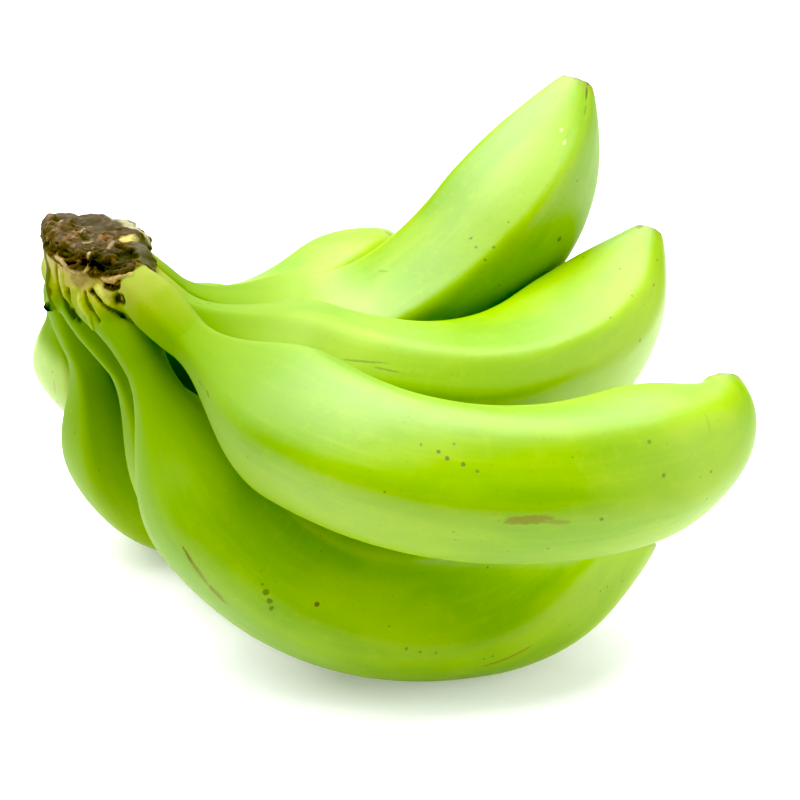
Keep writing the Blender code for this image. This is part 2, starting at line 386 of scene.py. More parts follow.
def paint(item, name, values):
    """Store a number or a vector for each vertex."""
    values = np.asarray(values, np.float32)
    kind = "FLOAT" if values.ndim == 1 else "FLOAT_VECTOR"
    layer = item.data.attributes.new(name, kind, "POINT")
    layer.data.foreach_set("value" if values.ndim == 1 else "vector", values.ravel())


def noise_at(points, width, seed):
    """Smooth noise from about -1 to 1 at each point in mm, with bumps about as wide as given in mm."""
    shift = Vector([seed * step for step in SEED_STEPS])
    return np.array([noise.noise(Vector(point) / width + shift) for point in points])


class Banana:
    """One banana's middle line, its cross-sections and its place on the unrolled peels."""

    def __init__(self, number, name, body, taper, flatness, rounding, corners, controls):
        self.number, self.name, self.body, self.taper = number, name, body, taper
        self.flatness, self.rounding = flatness, rounding
        self.corners = np.array(corners * len(RIDGE_SHARES) if len(corners) == 1 else corners, float)
        self.points, self.lengths = middle_line(controls)
        self.length = self.lengths[-1]
        self.inner = (self.points[0] + self.points[-1]) / 2 - self.points[CURVE_STEPS // 2]
        self.drop = 0.0
        if name.startswith("banana_lower"):
            probe = self.rings(np.linspace(0, self.length, PROBE_RINGS), PROBE_AROUND)[0]
            self.drop = REST_CUT + probe[..., 2].min()

    def axes(self, wanted):
        """Return place, direction and the two cross directions at each length in mm."""
        place, along = stations(self.points, self.lengths, wanted)
        across = unit(self.inner - along * (along @ self.inner)[:, None])
        return place, along, across, np.cross(along, across)

    def ridge(self, around, shares):
        """Return how far the ridges stand out or the sides lie in, as a share of the radius."""
        table = np.arange(TURN_STEPS) * 360.0 / TURN_STEPS
        angle = np.arange(around) * 360.0 / around
        rows = []
        for share in shares:
            corners = [np.interp(share, RIDGE_SHARES, column) for column in self.corners.T]
            rows.append(np.interp(angle, table, ridge_section(corners, self.rounding), period=360.0))
        return np.array(rows)

    def rings(self, wanted, around, swell=0.0):
        """Return rings of points at lengths in mm, their outward directions and the ridges' heights."""
        place, _, across, side = self.axes(wanted)
        angle = turn_angles(around)
        share = np.clip(wanted / self.length, 0, 1)
        ridge = self.ridge(around, share)
        end = 1 - RIDGE_FADE * smoothstep(share, RIDGE_FADE_START, 1.0)[:, None]
        blossom = NARROW_BLOSSOM.get(self.name, BLOSSOM_RADIUS)
        radius = banana_radius(share, self.body, self.taper, blossom)[:, None]
        radius = radius * (1 + self.flatness * end * ridge) + np.reshape(swell, (-1, 1))
        offset = across[:, None] * np.cos(angle)[None, :, None] + side[:, None] * np.sin(angle)[None, :, None]
        return place[:, None] + offset * radius[..., None], offset, ridge

    def on_skin(self, angle, length):
        """Return the point of the unrolled peel for an angle and a length in mm."""
        angle, length = np.broadcast_arrays(angle, length)
        return np.stack([SKIN_RADIUS * np.cos(angle), SKIN_RADIUS * np.sin(angle),
                         length + SKIN_STEP * self.number], -1)


def blossom_rings(banana, rim, along, angle):
    """Return the rings of the tip, a rounded rim and then a sunken scar, and their places on the peel."""
    middle = rim.mean(0)
    rings = []
    places = []
    for inward, rise in BLOSSOM_RINGS:
        rough = [noise.noise(Vector((BLOSSOM_DRIFT * inward + banana.number, BLOSSOM_WAVES * math.cos(turn),
                                     BLOSSOM_WAVES * math.sin(turn)))) for turn in angle]
        rough = np.array(rough)[:, None]
        ring = middle + (rim - middle) * inward * (1 + BLOSSOM_UNEVEN * rough)
        rings.append(ring + along * (rise + BLOSSOM_RELIEF * rough * (inward < BLOSSOM_SCAR)))
        places.append(banana.on_skin(angle, banana.length + (1 - inward) * BLOSSOM_RADIUS + BLOSSOM_START))
    return rings, places


def rest_height(height):
    """Press heights in mm that dip below the floor up to it, with a soft edge round the flat spot."""
    pressed = REST_EDGE * np.exp(np.minimum(height - REST_EDGE, 0) / REST_EDGE)
    return np.where(height < REST_EDGE, pressed, height)


def fine_banana(banana):
    """Make one banana as a fine closed skin with ridges, a stalk and a dried blossom end."""
    # rings lie closer together towards both ends, most of all at the tip
    turns = np.linspace(FIRST_TURN, 1, ALONG)
    shares = 0.5 - 0.5 * np.cos(math.pi * turns)
    shares = (shares - shares[0]) / (1 - shares[0])
    wanted = ROOT + shares * (banana.length - ROOT)
    angle = turn_angles(AROUND)
    skin = banana.on_skin(angle[None, :], wanted[:, None]).reshape(-1, 3)
    rings, offset, ridge = banana.rings(wanted, AROUND)
    lift = WAVE_HEIGHT * noise_at(skin, *WAVES) + DENT_HEIGHT * noise_at(skin, *DENTS)
    rings = rings + offset * lift.reshape(ALONG, AROUND)[..., None]

    along = banana.axes(wanted[-1:])[1][0]
    caps, cap_places = blossom_rings(banana, rings[-1], along, angle)
    verts, faces = closed_tube(np.concatenate([rings, caps]))
    ends = [banana.on_skin(0.0, ROOT), banana.on_skin(0.0, banana.length + BLOSSOM_RADIUS)]
    skin = np.concatenate([skin] + cap_places + [ends])
    if banana.drop:
        verts[:, 2] = rest_height(verts[:, 2] - banana.drop)
    item = new_mesh(banana.name.replace("banana", "fruit"), verts, faces)
    ridges = np.zeros(len(verts))
    ridges[:ALONG * AROUND] = ridge.ravel() / ridge.max()
    paint(item, "peel", skin)
    paint(item, "ridge", ridges)
    paint(item, "to_tip", banana.length - (skin[:, 2] - SKIN_STEP * banana.number))
    return item


def crown_rings():
    """Return rings of the crown's side at evenly spaced levels between its slices, in mm."""
    turn = math.radians(CROWN_TURN)
    short_way = np.array((math.cos(turn), math.sin(turn), 0))
    long_way = np.array((-math.sin(turn), math.cos(turn), 0))
    last = len(CROWN_SLICES) - 1
    table = np.array([(height, middle[0], middle[1], short_half, long_half)
                      for height, middle, short_half, long_half in CROWN_SLICES])
    angle = turn_angles(CROWN_AROUND)
    rings = []
    for level in np.linspace(0, last, CROWN_RINGS):
        values = [np.interp(level, range(last + 1), column) for column in table.T]
        height, x, y, short_half, long_half = values
        rough = 1.0 + CROWN_ROUGHNESS * np.sin(CROWN_WAVES * angle + CROWN_TWIST * level)
        flat = (short_way * (np.cos(angle) * short_half * rough)[:, None]
                + long_way * (np.sin(angle) * long_half * rough)[:, None])
        rise = height - (flat[:, :2] @ np.array(CROWN_SLOPE)) * (level / last)
        rings.append(np.stack([x + flat[:, 0], y + flat[:, 1], rise], -1))
    return np.array(rings)


def ellipsoid(middle, radii):
    """Return the points and faces of a closed ellipsoid."""
    rise = np.linspace(-LUMP_REACH, LUMP_REACH, LUMP_RINGS) * math.pi / 2
    turn = turn_angles(LUMP_AROUND)
    rings = np.stack([np.cos(rise)[:, None] * np.cos(turn), np.cos(rise)[:, None] * np.sin(turn),
                      np.broadcast_to(np.sin(rise)[:, None], (LUMP_RINGS, LUMP_AROUND))], -1)
    return closed_tube(np.array(middle) + rings * np.array(radii))


def fused(name, parts):
    """Fuse closed solids, in mm, into one even skin and return its points and faces."""
    verts, faces = [], []
    base = 0
    for part_verts, part_faces in parts:
        verts.append(part_verts)
        faces += [tuple(index + base for index in face) for face in part_faces]
        base += len(part_verts)
    item = new_mesh(name, np.concatenate(verts), faces)
    remesh = item.modifiers.new("fuse", "REMESH")
    remesh.mode = "VOXEL"
    remesh.voxel_size = VOXEL * MM
    remesh.adaptivity = 0.0
    shape = item.evaluated_get(bpy.context.evaluated_depsgraph_get()).to_mesh()
    points = np.zeros(len(shape.vertices) * 3)
    shape.vertices.foreach_get("co", points)
    polygons = [tuple(face.vertices) for face in shape.polygons]
    item.to_mesh_clear()
    bpy.data.objects.remove(item, do_unlink=True)
    return points.reshape(-1, 3) / MM, polygons


def neighbour_middles(points, pairs, count):
    """Return the middle of each point's neighbours."""
    total = np.zeros_like(points)
    for axis in range(3):
        total[:, axis] += np.bincount(pairs[:, 0], points[pairs[:, 1], axis], len(points))
        total[:, axis] += np.bincount(pairs[:, 1], points[pairs[:, 0], axis], len(points))
    return total / count


def smoothed(points, faces):
    """Even out a skin; return its points, its pairs of neighbours and the number that each point has."""
    edges = set()
    for face in faces:
        for first, second in zip(face, face[1:] + face[:1]):
            edges.add((min(first, second), max(first, second)))
    pairs = np.array(sorted(edges))
    count = np.bincount(pairs.ravel(), minlength=len(points))[:, None]
    for _ in range(SMOOTHING_ROUNDS):
        points = points + SMOOTHING_SHARE * (neighbour_middles(points, pairs, count) - points)
    return points, pairs, count


def normals_of(points, faces):
    """Return the outward direction at each point of a skin."""
    quads = np.array([face if len(face) == 4 else (*face, face[-1]) for face in faces])
    across = np.cross(points[quads[:, 2]] - points[quads[:, 0]], points[quads[:, 3]] - points[quads[:, 1]])
    total = np.zeros_like(points)
    for corner in range(4):
        for axis in range(3):
            total[:, axis] += np.bincount(quads[:, corner], across[:, axis], len(points))
    return unit(total + NEVER_ZERO)


def closeness(points, width, path, ragged):
    """Return 1 near a path and 0 away from it, with a ragged edge."""
    path = np.array(path, float)
    far = np.linalg.norm(points - path[0], axis=1)
    for first, second in zip(path, path[1:]):
        step = second - first
        share = np.clip((points - first) @ step / (step @ step), 0, 1)
        far = np.minimum(far, np.linalg.norm(points - first - share[:, None] * step, axis=1))
    return 1 - smoothstep(far / width + ragged, *DETAIL_EDGE)


def crown_core(bananas):
    """Return the skin of the crown with its lumps, flesh and sleeves, and a search tree of the bark alone."""
    parts = [closed_tube(crown_rings())] + [ellipsoid(middle, radii) for middle, radii in LUMPS]
    core_points, core_faces = fused("bark_core", parts)
    core = BVHTree.FromPolygons([Vector(point) for point in core_points], core_faces)
    parts += [ellipsoid(middle, radii) for middle, radii in FLESH]
    places, swells = np.array(SLEEVE).T
    wanted = np.linspace(places[0], places[-1], SLEEVE_RINGS)
    for banana in bananas:
        rings = banana.rings(wanted, SLEEVE_AROUND, np.interp(wanted, places, swells))[0]
        rings[..., 2] -= banana.drop
        parts.append(closed_tube(rings))
    points, faces = fused("crown_core", parts)
    return points, faces, core


def crown_details(points, grain):
    """Return what the details add at each point: height in mm, evenness, colour and the colour's share."""
    ragged = RAGGED_SHARE * noise_at(points, *RAGGED) + RAGGED_GRAIN * grain
    lift, even, share = np.zeros((3, len(points)))
    tint = np.zeros((len(points), 3))
    for look, width, rise, path in DETAILS:
        color, strength, evenness = LOOKS[look]
        near = closeness(points, width, path, ragged)
        lift += rise * near
        even = np.maximum(even, evenness * near)
        near = (strength * near)[:, None]
        tint = tint * (1 - near) + np.array(color) * near
        share = 1 - (1 - share) * (1 - near[:, 0])
    return lift, even, tint / np.maximum(share, SMALL_SHARE)[:, None], share


def nearest_skin(bananas, points):
    """Return the place on the unrolled peels of the stalk that is nearest to each point."""
    best = np.full(len(points), np.inf)
    found = np.zeros((len(points), 3))
    wanted = np.linspace(SLEEVE[0][0], SLEEVE[-1][0] + SLEEVE_EXTRA, SLEEVE_RINGS)
    for banana in bananas:
        place, along, across, side = banana.axes(wanted)
        place = place - np.array((0, 0, banana.drop))
        gap = points[:, None] - place[None]
        far = np.linalg.norm(gap, axis=2)
        index = far.argmin(1)
        rows = np.arange(len(points))
        nearest = far[rows, index]
        offset = gap[rows, index]
        length = wanted[index] + dot(offset, along[index])
        angle = np.arctan2(dot(offset, side[index]), dot(offset, across[index]))
        closer = nearest < best
        best[closer] = nearest[closer]
        found[closer] = banana.on_skin(angle, length)[closer]
    return found


def fine_crown(bananas):
    """Make the craggy crown with the flesh that joins the stalks under it."""
    points, faces, core = crown_core(bananas)
    points, pairs, count = smoothed(points, faces)
    distance = np.array([core.find_nearest(Vector(point))[3] for point in points])
    normal = normals_of(points, faces)
    height = points[:, 2] - BARK_EDGE + BARK_SLOPE * (points[:, 0] - CROWN_SLICES[-1][1][0])
    bark = smoothstep(height + noise_at(points, *BLOTCHES), *BARK_FADE)
    bark = bark * (1 - smoothstep(distance, *BARK_REACH))

    # cragginess of the bark: deep folds, fibres running round and fine grain
    warp = np.stack([noise_at(points, BEND_WIDTH, seed) for seed in BEND_SEEDS], 1)
    bent = points + BEND * warp
    folds = 1 - 2 * np.abs(noise_at(bent, *FOLDS))
    fibres = 1 - 2 * np.abs(noise_at(bent * (1.0, 1.0, FIBRE_SQUEEZE), *FIBRES))
    grain = noise_at(points, *GRAIN)
    lift, even, tint, share = crown_details(points, grain)
    depth = FOLD_HEIGHT * folds + FIBRE_HEIGHT * fibres + GRAIN_HEIGHT * grain - BARK_SINK
    points = points + normal * (bark * (depth * (1 - even)) + lift)[:, None]

    item = new_mesh("cut_crown", points, faces)
    paint(item, "bark", bark)
    paint(item, "under_bark", np.maximum(-height, 0) + FAR_WEIGHT * np.maximum(distance - FAR_START, 0))
    paint(item, "folds", folds)
    paint(item, "fibres", fibres)
    # depth of each point below its neighbours, which the materials darken as painted shade
    paint(item, "shaded_hollow", dot(neighbour_middles(points, pairs, count) - points, normal))
    paint(item, "tint", tint)
    paint(item, "tint_share", share)
    paint(item, "even", even)
    paint(item, "peel", nearest_skin(bananas, points))
    paint(item, "ridge", np.zeros(len(points)))
    dull = np.maximum(bark, share)
    barked = [dull[list(face)].mean() > 0.5 for face in faces]
    item.data.polygons.foreach_set("material_index", np.array(barked, np.int32))
    return item


class Tree:
    """A material whose nodes are added and joined by short calls."""

    def __init__(self, name):
        self.material = bpy.data.materials.new(name)
        self.material.use_nodes = True
        self.nodes = self.material.node_tree.nodes
        self.links = self.material.node_tree.links
        self.shader = self.nodes["Principled BSDF"]

    def put(self, socket, value):
        """Join a socket to another, or give it a constant."""
        if isinstance(value, bpy.types.NodeSocket):
            self.links.new(value, socket)
        else:
            socket.default_value = value

    def set(self, name, value):
        """Join or fill one of the shader's own sockets."""
        self.put(self.shader.inputs[name], value)

    def node(self, kind, values, **settings):
        """Add a node of a kind, make its settings, join or fill its sockets and return its outputs."""
        node = self.nodes.new("ShaderNode" + kind)
        for name, value in settings.items():
            setattr(node, name, value)
        for socket, value in values.items():
            self.put(node.inputs[socket], value)
        return node.outputs

    def attribute(self, name, output="Fac"):
        """Return a value that is stored for each vertex."""
        return self.node("Attribute", {}, attribute_name=name)[output]

    def place(self):
        """Return the place on the object in metres."""
        return self.node("TexCoord", {})["Object"]

    def axes(self, vector):
        """Return the three parts of a vector."""
        return self.node("SeparateXYZ", {0: vector})

    def math(self, operation, first, second=0.0, third=0.0):
        """Work out a number from up to three others."""
        return self.node("Math", {0: first, 1: second, 2: third}, operation=operation)[0]

    def stretch(self, vector, scale):
        """Multiply a vector or a colour part by part."""
        return self.node("VectorMath", {0: vector, 1: scale}, operation="MULTIPLY")[0]

    def noise(self, vector, scale, detail, roughness, distortion=0.0):
        """Return soft noise from 0 to 1."""
        return self.node("TexNoise", {"Vector": vector, "Scale": scale, "Detail": detail,
                                      "Roughness": roughness, "Distortion": distortion})["Fac"]

    def ragged(self, vector, pattern, height):
        """Return noise centred on 0, as high in all as the height."""
        return self.math("MULTIPLY_ADD", self.noise(vector, *pattern), height, -height / 2)

    def cells(self, vector, scale):
        """Return the distance to the nearest of many scattered points, and its two random numbers."""
        found = self.node("TexVoronoi", {"Vector": vector, "Scale": scale})
        chance, girth, _ = self.node("SeparateColor", {0: found["Color"]})
        return found["Distance"], chance, girth

    def ease(self, value, low, high, first=0.0, second=1.0):
        """Ease from first where the value is low to second where it is high."""
        values = {"Value": value, "From Min": low, "From Max": high, "To Min": first, "To Max": second}
        return self.node("MapRange", values, interpolation_type="SMOOTHSTEP")["Result"]

    def mix(self, share, *colors):
        """Mix two colours."""
        first, second = [(*color, 1.0) if isinstance(color, tuple) else color for color in colors]
        return self.node("Mix", {0: share, 6: first, 7: second}, data_type="RGBA", clamp_factor=True)[2]

    def tinge(self, color, tint, value, low, high, share):
        """Mix a tint into a colour: none of it where the value is low, the given share where it is high."""
        return self.mix(self.math("MULTIPLY", self.ease(value, low, high), share), color, tint)

    def spot(self, skin, angle, length, across, along, tilt, ragged):
        """Return 1 inside an oval mark on the peel and 0 outside it, with a ragged edge."""
        turn = math.radians(angle)
        values = {
            "Vector": skin,
            "Location": (SKIN_RADIUS * math.cos(turn), SKIN_RADIUS * math.sin(turn), length),
            "Rotation": (math.radians(tilt), 0.0, turn),
            "Scale": (MARK_DEPTH, across, along),
        }
        inside = self.node("Mapping", values, vector_type="TEXTURE")[0]
        size = self.node("VectorMath", {0: inside}, operation="LENGTH")["Value"]
        return self.ease(self.math("ADD", size, ragged), *MARK_EDGE)

    def bump(self, height, strength, distance):
        """Return the normal of a surface in low relief."""
        return self.node("Bump", {"Height": height, "Strength": strength, "Distance": distance})[0]


# Colours of the peel
DEEP_GREEN = (0.145, 0.300, 0.002)
MAIN_GREEN = (0.215, 0.365, 0.004)
PALE_GREEN = (0.310, 0.430, 0.020)
# paler colour painted on a body as light
PAINTED_LIGHT_GREEN = (0.550, 0.640, 0.120)
# deep green of the necks, partly their own tone and partly painted shade
NECK_GREEN_AND_SHADE = (0.092, 0.185, 0.001)
SPECK_GREEN = (0.090, 0.170, 0.002)
DARK_MARK = (0.045, 0.040, 0.012)
BROWN_MARK = (0.165, 0.140, 0.020)
PALE_MARK = (0.480, 0.620, 0.230)
BLOSSOM_GREY = (0.120, 0.110, 0.060)
BLOSSOM_DARK = (0.035, 0.026, 0.014)
TINTS = {"dark": DARK_MARK, "brown": BROWN_MARK, "pale": PALE_MARK, "green": DEEP_GREEN}

# Noise of the peel: scale for each mm, detail and roughness
PATCHES = (0.045, 3.0, 0.5)
STREAKS = (0.55, 3.0, 0.6)
MOTTLE = (0.35, 3.0, 0.55)
CROWDING = (0.07, 2.0, 0.5)
MARK_RIM = (0.9, 3.0, 0.65)
TIP_RIM = (0.28, 3.0, 0.6)
PATCH_STRETCH = (1.0, 1.0, 0.45)
STREAK_STRETCH = (1.0, 1.0, 0.06)

# Values between which a tint of the peel fades in, and its share
PATCH_TINGE = (0.38, 0.66)
STREAK_TINGE = (0.45, 0.75, 0.16)
MOTTLE_TINGE = (0.50, 0.75, 0.16)
RIDGE_RISE = (0.35, 1.0)
RIDGE_SHARE = 0.22

# Deeper green dots and rarer, crowding dark specks: scale for each mm, edge, random numbers that have one,
# and share of the tint
DOT_SCALE = 0.62
DOT_EDGE = (0.30, 0.12)
DOT_CHOICE = (0.55, 0.80)
DOT_SHARE = 0.16
SPECK_SCALE = 0.40
SPECK_SIZE = (0.10, 0.06)  # spread and least size
SPECK_CORE = 0.5  # share of a speck's size inside which it is full
SPECK_CHOICE = (1.10, 1.22)
SPECK_CROWDING = 0.5
SPECK_SHARE = 0.75

# Marks: unevenness of the rim, its edge, and how deep a mark reaches in mm
MARK_UNEVEN = 1.3
MARK_EDGE = (1.05, 0.65)
MARK_DEPTH = 6.0

# The neck: lengths in mm between which it becomes body, its share of deeper green, which is partly its own
# tone and partly painted shade, and its dullness
NECK_START, NECK_END = 28.0, 85.0
SHORT_NECK = {"banana_lower_back": 40}
NECK_TONE_AND_SHADE = 0.80
NECK_DULLNESS = 0.45
PAINTED_LIGHT_BODY = {"banana_lower_back": 0.20}  # share of a paler colour painted into a body as light

# The blossom end: unevenness of its rim in mm, and distances in mm to the tip
TIP_UNEVEN = 3.0
TIP_BROWN = (4.0, 0.0, 0.35)
TIP_GREY = (0.6, -0.2, 0.8)
TIP_DARK = (-0.3, -0.9)

# Gloss and relief of the peel
PEEL_ROUGHNESS = 0.40
MOTTLE_ROUGHNESS = 0.10
MARK_ROUGHNESS = 0.25
MARK_SINK = -0.8
STREAK_RELIEF = 0.35
PEEL_BUMP = (0.14, 0.0004)  # strength, and distance in metres
WAX_SHINE = 0.70
WAX_BLOOM = 0.02
WAX = {
    "Sheen Roughness": 0.45,
    "Sheen Tint": (0.92, 1.0, 0.70, 1.0),
    "Subsurface Weight": 0.12,
    "Subsurface Radius": (0.6, 1.0, 0.15),
    "Subsurface Scale": 0.003,
}


def peel_pattern(tree, marks, first_length):
    """Lay out the peel on the unrolled skin; return its place, colour, dark marks, streaks and mottle."""
    skin = tree.attribute("peel", "Vector")
    patches = tree.noise(tree.stretch(skin, PATCH_STRETCH), *PATCHES)
    streaks = tree.noise(tree.stretch(skin, STREAK_STRETCH), *STREAKS)
    mottle = tree.noise(skin, *MOTTLE)
    color = tree.mix(tree.ease(patches, *PATCH_TINGE), DEEP_GREEN, MAIN_GREEN)
    color = tree.tinge(color, PALE_GREEN, streaks, *STREAK_TINGE)
    color = tree.tinge(color, PALE_GREEN, mottle, *MOTTLE_TINGE)
    color = tree.tinge(color, PALE_GREEN, tree.attribute("ridge"), *RIDGE_RISE, RIDGE_SHARE)

    far, chance, _ = tree.cells(skin, DOT_SCALE)
    dot_here = tree.math("MULTIPLY", tree.ease(far, *DOT_EDGE), tree.ease(chance, *DOT_CHOICE))
    color = tree.mix(tree.math("MULTIPLY", dot_here, DOT_SHARE), color, SPECK_GREEN)
    far, chance, girth = tree.cells(skin, SPECK_SCALE)
    crowd = tree.math("MULTIPLY", tree.noise(skin, *CROWDING), SPECK_CROWDING)
    chosen = tree.ease(tree.math("ADD", chance, crowd), *SPECK_CHOICE)
    size = tree.math("MULTIPLY_ADD", girth, *SPECK_SIZE)
    dark = tree.math("MULTIPLY", tree.ease(far, size, tree.math("MULTIPLY", size, SPECK_CORE)), chosen)
    color = tree.mix(tree.math("MULTIPLY", dark, SPECK_SHARE), color, DARK_MARK)

    ragged = tree.ragged(skin, MARK_RIM, MARK_UNEVEN)
    for kind, angle, length, across, along, tilt, share in marks:
        inside = tree.spot(skin, angle, first_length + length, across, along, tilt, ragged)
        inside = tree.math("MULTIPLY", inside, share)
        color = tree.mix(inside, color, TINTS[kind])
        if kind in ("dark", "brown"):
            dark = tree.math("MAXIMUM", dark, inside)
    return skin, color, dark, streaks, mottle


def set_wax(tree, shine, bloom):
    """Give the shader the soft shine and the pale bloom of a waxy peel."""
    tree.set("Specular IOR Level", shine)
    tree.set("Sheen Weight", bloom)
    for name, value in WAX.items():
        tree.set(name, value)


def peel_material(banana):
    """Return the green peel of one banana: its marks, a body made paler as painted light where given, a
    duller neck darkened partly as painted shade, dark blossom end, gloss and relief.
    """
    tree = Tree(banana.name.replace("banana", "peel"))
    first_length = SKIN_STEP * banana.number
    neck_end = SHORT_NECK.get(banana.name, NECK_END)
    pale = PAINTED_LIGHT_BODY.get(banana.name, 0.0)
    marks = MARKS.get(banana.name, ())
    skin, color, dark, streaks, mottle = peel_pattern(tree, marks, first_length)
    length = tree.math("SUBTRACT", tree.axes(skin)[2], first_length)
    # painted light: a body made paler by its share of the paler colour
    color = tree.mix(tree.ease(length, NECK_START, neck_end, 0.0, pale), color, PAINTED_LIGHT_GREEN)
    # darker neck green, partly its own tone and partly painted shade
    color = tree.mix(tree.ease(length, neck_end, NECK_START, 0.0, NECK_TONE_AND_SHADE), color, NECK_GREEN_AND_SHADE)
    to_tip = tree.attribute("to_tip")
    near = tree.math("ADD", to_tip, tree.ragged(skin, TIP_RIM, TIP_UNEVEN))
    color = tree.tinge(color, BROWN_MARK, near, *TIP_BROWN)
    color = tree.tinge(color, BLOSSOM_GREY, near, *TIP_GREY)
    color = tree.mix(tree.ease(to_tip, *TIP_DARK), color, BLOSSOM_DARK)
    tree.set("Base Color", color)
    rough = tree.math("MULTIPLY_ADD", mottle, MOTTLE_ROUGHNESS, PEEL_ROUGHNESS)
    rough = tree.math("ADD", rough, tree.math("MULTIPLY", dark, MARK_ROUGHNESS))
    dull = tree.ease(length, neck_end, NECK_START, 0.0, NECK_DULLNESS)
    tree.set("Roughness", tree.math("ADD", rough, dull))
    relief = tree.math("MULTIPLY_ADD", streaks, STREAK_RELIEF, mottle)
    tree.set("Normal", tree.bump(tree.math("MULTIPLY_ADD", dark, MARK_SINK, relief), *PEEL_BUMP))
    set_wax(tree, WAX_SHINE, WAX_BLOOM)
    return tree.material


# Colours of the crown
OLIVE = (0.150, 0.195, 0.003)
YELLOW_GREEN = (0.255, 0.275, 0.012)
TAN = (0.310, 0.240, 0.085)
BARK_DARK = (0.009, 0.005, 0.004)
BARK_BROWN = (0.042, 0.023, 0.014)
BARK_RED = (0.095, 0.042, 0.020)
BARK_PALE = (0.150, 0.100, 0.062)
BARK_GREY = (0.068, 0.054, 0.044)

# Noise of the crown: scale for each metre, detail, roughness and, where given, distortion
FLESH_RIM = (260.0, 3.0, 0.6)
RUST = (300.0, 4.0, 0.65, 0.8)
GREY = (170.0, 2.0, 0.5)
FINE_GRAIN = (900.0, 4.0, 0.7)
FLESH_UNEVEN = 8.0  # height in mm of the unevenness of the flesh's tints

# Distances in mm below the bark between which a tint of the flesh fades in, and its share; the last two are
# weaker right of the X places in metres
OLIVE_TINGE = (18.0, 6.0, 0.40)
YELLOW_TINGE = (15.0, 4.0, 0.0, 0.80)
TAN_TINGE = (8.0, 1.0, 0.0, 0.75)
LEFT_SIDE = (-0.060, -0.070, 0.25, 1.0)

# Depths in mm of a hollow between which its painted shade fades in, and the shares of that painted shade
FLESH_HOLLOW_SHADE = (0.03, 0.12, 0.0, 0.5)
BARK_HOLLOW_SHADE = (0.03, 0.14, 0.0, 0.85)

# Values between which a tint of the bark fades in, and its share
FOLD_TINGE = (-0.4, 0.8)
RED_TINGE = (0.50, 0.66, 0.6)
FIBRE_TINGE = (0.75, 0.97)
PALE_TINGE = (0.40, 0.62)
GREY_TINGE = (0.50, 0.68, 0.5)
GRAIN_TINGE = (0.30, 0.62)
GRAIN_SHADE = (0.62, 0.58, 0.55)  # share of a detail's colour that stays in the dips of the grain

# Gloss and relief of the crown
FLESH_ROUGHNESS = 0.45
BARK_ROUGHNESS = 0.90
EVEN_GLOSS = -0.20
FLESH_RELIEF = 0.2
CROWN_BUMP = (0.45, 0.0006)  # strength, and distance in metres
BARK_SHINE = 0.35


def flesh_color(tree, color, where, shaded_hollow):
    """Return the colour of the green flesh that the stalks grow out of: deep neck green that is partly
    painted shade, browner towards the bark, and painted shade in its hollows.
    """
    near = tree.math("ADD", tree.attribute("under_bark"), tree.ragged(where, FLESH_RIM, FLESH_UNEVEN))
    # neck green, partly its own tone and partly painted shade
    color = tree.mix(NECK_TONE_AND_SHADE, color, NECK_GREEN_AND_SHADE)
    color = tree.tinge(color, OLIVE, near, *OLIVE_TINGE)
    left = tree.ease(tree.axes(where)[0], *LEFT_SIDE)
    color = tree.mix(tree.math("MULTIPLY", tree.ease(near, *YELLOW_TINGE), left), color, YELLOW_GREEN)
    color = tree.mix(tree.math("MULTIPLY", tree.ease(near, *TAN_TINGE), left), color, TAN)
    return tree.mix(tree.ease(shaded_hollow, *FLESH_HOLLOW_SHADE), color, BARK_BROWN)


def bark_color(tree, where, shaded_hollow):
    """Return the colour of the dried bark: dark folds, rusty patches, pale fibres, grey patches and painted
    shade in its hollows.
    """
    rust = tree.noise(where, *RUST)
    bark = tree.mix(tree.ease(tree.attribute("folds"), *FOLD_TINGE), BARK_DARK, BARK_BROWN)
    bark = tree.tinge(bark, BARK_RED, rust, *RED_TINGE)
    pale = tree.ease(tree.attribute("fibres"), *FIBRE_TINGE)
    bark = tree.mix(tree.math("MULTIPLY", pale, tree.ease(rust, *PALE_TINGE)), bark, BARK_PALE)
    bark = tree.tinge(bark, BARK_GREY, tree.noise(where, *GREY), *GREY_TINGE)
    return tree.mix(tree.ease(shaded_hollow, *BARK_HOLLOW_SHADE), bark, BARK_DARK)


def crown_material(name, shine, bloom):
    """Return the crown's bark with its details, and the green flesh that the stalks grow out of."""
    tree = Tree(name)
    _, color, _, streaks, mottle = peel_pattern(tree, (), 0.0)
    where = tree.place()
    # depth of the hollows, darkened below as painted shade
    shaded_hollow = tree.attribute("shaded_hollow")
    share = tree.attribute("bark")
    color = tree.mix(share, flesh_color(tree, color, where, shaded_hollow), bark_color(tree, where, shaded_hollow))
    grain = tree.noise(where, *FINE_GRAIN)
    tint = tree.attribute("tint", "Vector")
    tint = tree.mix(tree.ease(grain, *GRAIN_TINGE), tree.stretch(tint, GRAIN_SHADE), tint)
    tree.set("Base Color", tree.mix(tree.attribute("tint_share"), color, tint))
    rough = tree.ease(share, 0.0, 1.0, FLESH_ROUGHNESS + NECK_DULLNESS, BARK_ROUGHNESS)
    tree.set("Roughness", tree.math("MULTIPLY_ADD", tree.attribute("even"), EVEN_GLOSS, rough))
    relief = tree.math("MULTIPLY_ADD", streaks, STREAK_RELIEF, mottle)
    relief = tree.math("MULTIPLY", relief, FLESH_RELIEF)
    relief = tree.math("MULTIPLY_ADD", share, tree.math("SUBTRACT", grain, relief), relief)
    tree.set("Normal", tree.bump(relief, *CROWN_BUMP))
    set_wax(tree, shine, bloom)
    return tree.material


